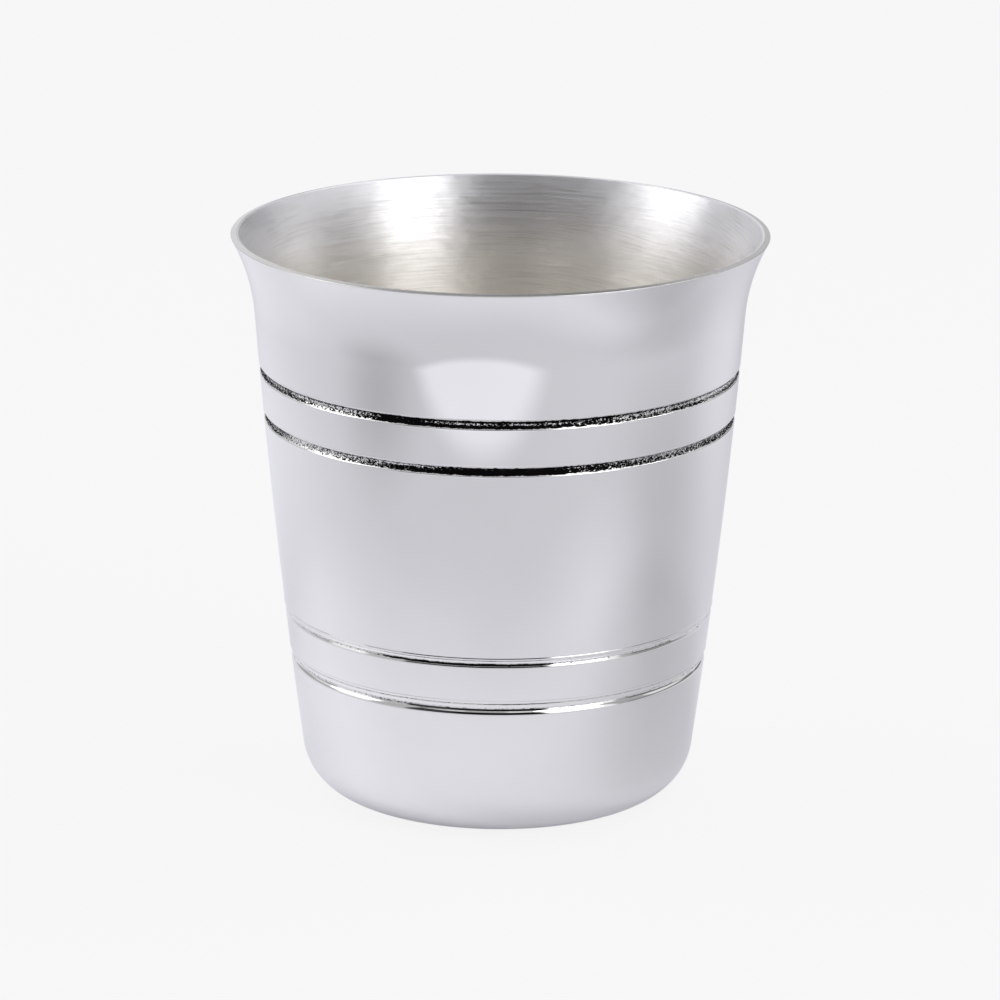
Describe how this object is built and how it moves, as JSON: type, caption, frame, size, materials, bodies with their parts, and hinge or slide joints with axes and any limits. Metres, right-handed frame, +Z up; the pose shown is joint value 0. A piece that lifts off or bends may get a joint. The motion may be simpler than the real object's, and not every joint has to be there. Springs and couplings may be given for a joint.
{
  "type": "julep cup",
  "caption": "Stemless spun-metal julep cup with a flared lip, rounded foot and turned grooves in pairs, for serving iced drinks.",
  "frame": {"origin": "centre of the foot on the surface that the cup stands on", "axes": "+Z up along the cup's axis of revolution, out of the mouth; X and Y are equal"},
  "size_m": [0.083, 0.083, 0.089],
  "materials": {
    "polished_silver": "silver plate, mirror polished outside and circumferentially brushed satin inside",
    "blacking": "matt black antiquing, worn through to silver specks"
  },
  "bodies": {
    "root": {"cup_body": "polished_silver", "groove_1_blacking": "blacking", "groove_2_blacking": "blacking", "groove_3_blacking": "blacking", "groove_4_blacking": "blacking"}
  },
  "joints": []
}
